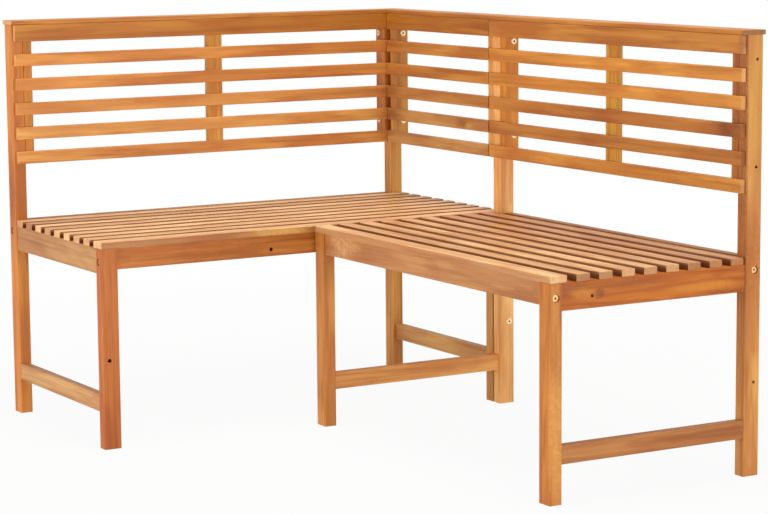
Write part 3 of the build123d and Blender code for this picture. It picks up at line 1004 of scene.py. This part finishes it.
# button head bolts with a hexagon socket
bolts = {
    "sides": 36,
    "headDiameter": 15.0,
    "headHeight": 3.0,
    "headEase": 1.2,
    "socketSize": 4.0,
    "socketDepth": 2.0,
    "socketLead": 0.4,
    "shankDiameter": 6.0,
    "arcSteps": 4,
    "seed": 3,
}
sides, top, ease = bolts["sides"], bolts["headHeight"], bolts["headEase"]
outerRadius, apothem = bolts["headDiameter"] / 2, bolts["socketSize"] / 2
rings = [
    ring(apothem, top - bolts["socketDepth"], sides, "hexagon"),
    ring(apothem, top - bolts["socketLead"], sides, "hexagon"),
    ring(apothem + bolts["socketLead"], top, sides, "hexagon"),
]
for step in range(bolts["arcSteps"] + 1):
    angle = math.pi / 2 * step / bolts["arcSteps"]
    rings.append(
        ring(outerRadius - ease + ease * math.sin(angle), top - ease + ease * math.cos(angle), sides)
    )
rings.append(ring(outerRadius, 0, sides))
boltHead = loftRings("boltHead", rings, recessed=2)
shankRadius = bolts["shankDiameter"] / 2
boltShank = loftRings("boltShank", [ring(shankRadius, 0, sides // 2), ring(shankRadius, -1, sides // 2)])
for name in ("connector_bolts", "panel_bolts", "joining_bolts"):
    plate = goldZinc if name == "connector_bolts" else brightZinc
    placeFasteners(name + "_socketed", name, boltHead, boltShank, top, bolts["seed"], plate)

# countersunk screws with a cross recess, seen from below the seat
screws = {
    "sides": 24,
    "headDiameter": 8.0,
    "shankDiameter": 4.0,
    "crossArm": 2.4,
    "crossTaper": 0.6,
    "crossDepth": 1.2,
    "seed": 8,
}
sides, cone = screws["sides"], (screws["headDiameter"] - screws["shankDiameter"]) / 2
screwHead = loftRings(
    "screwHead",
    [
        ring(screws["crossArm"] * screws["crossTaper"], cone - screws["crossDepth"], sides, "cross"),
        ring(screws["crossArm"], cone, sides, "cross"),
        ring(screws["headDiameter"] / 2, cone, sides),
        ring(screws["shankDiameter"] / 2, 0, sides),
    ],
    recessed=1,
)
shankRadius = screws["shankDiameter"] / 2
screwShank = loftRings("screwShank", [ring(shankRadius, 0, sides // 2), ring(shankRadius, -1, sides // 2)])
placeFasteners(
    "seat_screws_crossed", "seat_screws", screwHead, screwShank, cone, screws["seed"], brightZinc
)

# threaded inserts: a sleeve driven a little below the face of the wood
inserts = {"sides": 24, "diameter": 9.0, "bore": 6.1, "lead": 0.8, "driven": 2.5, "length": 13.0, "seed": 6}
sides, outerRadius, boreRadius = inserts["sides"], inserts["diameter"] / 2, inserts["bore"] / 2
near, far = -inserts["driven"], inserts["driven"] - inserts["length"]
sleeve = loftRings(
    "insertSleeve",
    [
        ring(boreRadius, near - inserts["lead"], sides),
        ring(boreRadius + inserts["lead"], near, sides),
        ring(outerRadius, near, sides),
        ring(outerRadius, far, sides),
        ring(boreRadius + inserts["lead"], far, sides),
        ring(boreRadius, far + inserts["lead"], sides),
    ],
    hollow=True,
)
# the sleeves take the painted bore shade
placeFasteners("threaded_inserts_bored", "threaded_inserts", sleeve, None, 0, inserts["seed"], boreShadeZinc)

for prototype in (boltHead, boltShank, screwHead, screwShank, sleeve):
    bpy.data.objects.remove(prototype)
dress("barrel_nuts", brightZinc)
# beech dowel rod: pale and plain, hidden in the joints
dowels = {"tone": "#DDBB8C", "grain": "Z", "seed": 300}
beech = oiledAcacia("beech dowel rod", [dowels["tone"]], dowels["grain"], dowels["seed"], (0.0, 0.0, 0.0))
dress("wooden_dowels", beech)
print("fasteners made")

# pale studio floor: plain diffuse for light, near white to the camera, and it keeps the shadow
studio = {
    "floorSize": 60.0,  # metres
    "floorDrop": 0.2,  # mm below the feet
    "floorColour": "#D0CCC6",
    "whiteNear": 0.94,  # how white the floor is to the camera by the bench; the rest is shadow
    "fadeFrom": 0.9,  # metres from the middle where it starts to turn white, and where it is
    "fadeTo": 3.2,
    "worldColour": "#FFFFFF",
    "wallStrength": 0.8,
    "skyStrength": 0.15,
    "wallTop": (0.1, 0.5),
}


def seenDirectly(tree):
    # 1 where the camera, a reflection or a clear material looks, 0 for the light that falls
    path = addNode(tree, "ShaderNodeLightPath").outputs
    seen = path["Is Camera Ray"]
    for way in ("Is Glossy Ray", "Is Transmission Ray"):
        seen = addNode(
            tree, "ShaderNodeMath", {"operation": "MAXIMUM"}, {0: seen, 1: path[way]}
        ).outputs[0]
    return seen


floorMesh = bpy.data.meshes.new("studio_floor")
reachOut, drop = studio["floorSize"] / 2, -studio["floorDrop"] * mm
floorMesh.from_pydata(
    [(reachOut * x, reachOut * y, drop) for x, y in ((-1, -1), (1, -1), (1, 1), (-1, 1))],
    [],
    [(0, 1, 2, 3)],
)
floor = bpy.data.objects.new("studio_floor", floorMesh)
bpy.context.scene.collection.objects.link(floor)
paper = bpy.data.materials.new("matt paper sweep")
paper.use_nodes = True
tree = paper.node_tree
tree.nodes.clear()
far = addNode(
    tree,
    "ShaderNodeVectorMath",
    {"operation": "LENGTH"},
    {0: addNode(tree, "ShaderNodeTexCoord").outputs["Object"]},
)
fade = addNode(
    tree,
    "ShaderNodeMapRange",
    {"interpolation_type": "SMOOTHSTEP"},
    {
        "Value": far.outputs["Value"],
        "From Min": studio["fadeFrom"],
        "From Max": studio["fadeTo"],
        "To Min": studio["whiteNear"],
        "To Max": 1.0,
    },
)
share = addNode(
    tree, "ShaderNodeMath", {"operation": "MULTIPLY"}, {0: fade.outputs[0], 1: seenDirectly(tree)}
)
matt = addNode(tree, "ShaderNodeBsdfDiffuse", {}, {"Color": linear(studio["floorColour"])})
white = addNode(tree, "ShaderNodeEmission", {}, {"Color": (1, 1, 1, 1), "Strength": 1.0})
mixed = addNode(
    tree, "ShaderNodeMixShader", {}, {0: share.outputs[0], 1: matt.outputs[0], 2: white.outputs[0]}
)
addNode(tree, "ShaderNodeOutputMaterial", {}, {"Surface": mixed.outputs[0]})
floorMesh.materials.append(paper)

world = bpy.data.worlds.new("studio")
bpy.context.scene.world = world
world.use_nodes = True
tree = world.node_tree
tree.nodes.clear()
height = addNode(
    tree, "ShaderNodeSeparateXYZ", {}, {0: addNode(tree, "ShaderNodeTexCoord").outputs["Generated"]}
).outputs[2]
glow = addNode(
    tree,
    "ShaderNodeMapRange",
    {"interpolation_type": "SMOOTHSTEP"},
    {
        "Value": height,
        "From Min": studio["wallTop"][0],
        "From Max": studio["wallTop"][1],
        "To Min": studio["wallStrength"],
        "To Max": studio["skyStrength"],
    },
)
soft = addNode(
    tree, "ShaderNodeBackground", {}, {"Color": linear(studio["worldColour"]), "Strength": glow.outputs[0]}
)
white = addNode(tree, "ShaderNodeBackground", {}, {"Color": (1, 1, 1, 1), "Strength": 1.0})
mixed = addNode(
    tree, "ShaderNodeMixShader", {}, {0: seenDirectly(tree), 1: soft.outputs[0], 2: white.outputs[0]}
)
addNode(tree, "ShaderNodeOutputWorld", {}, {"Surface": mixed.outputs[0]})

# soft boxes: where each stands, its size in metres, its power in watts, all aimed at the bench's middle
softBoxes = {
    "key": {"spot": (-3.3, 0.0, 0.5), "size": (2.2, 0.7), "power": 62.0},
    "fill": {"spot": (1.1, -4.9, 0.5), "size": (2.2, 0.7), "power": 96.0},
    "top": {"spot": (-0.1, -0.4, 4.2), "size": (2.2, 2.2), "power": 145.0},
}
aim = (cadBounds[0] + cadBounds[1]) / 2
for name, look in softBoxes.items():
    lamp = bpy.data.lights.new("soft_box_" + name, "AREA")
    lamp.shape = "RECTANGLE"
    lamp.size, lamp.size_y = look["size"]
    lamp.energy = look["power"]
    box = bpy.data.objects.new("soft_box_" + name, lamp)
    box.location = look["spot"]
    box.rotation_euler = (aim - Vector(look["spot"])).to_track_quat("-Z", "Y").to_euler()
    box.visible_camera = False
    bpy.context.scene.collection.objects.link(box)

# the camera, at the photograph's viewing angle
view = {
    "spot": (-2.6437, -4.6084, 1.1430),
    "yaw": 30.39,
    "pitch": 7.924,
    "roll": -0.464,
    "lens": 116.3,
    "sensor": 36.0,
}
camera = bpy.data.objects.new("camera", bpy.data.cameras.new("camera"))
camera.data.sensor_width = view["sensor"]
camera.data.lens = view["lens"]
camera.matrix_world = (
    Matrix.Translation(view["spot"])
    @ Matrix.Rotation(math.radians(-view["yaw"]), 4, "Z")
    @ Matrix.Rotation(math.radians(90 - view["pitch"]), 4, "X")
    @ Matrix.Rotation(math.radians(view["roll"]), 4, "Z")
)
bpy.context.scene.collection.objects.link(camera)
bpy.context.scene.camera = camera
bpy.context.scene.view_settings.view_transform = "Standard"
print("studio set")
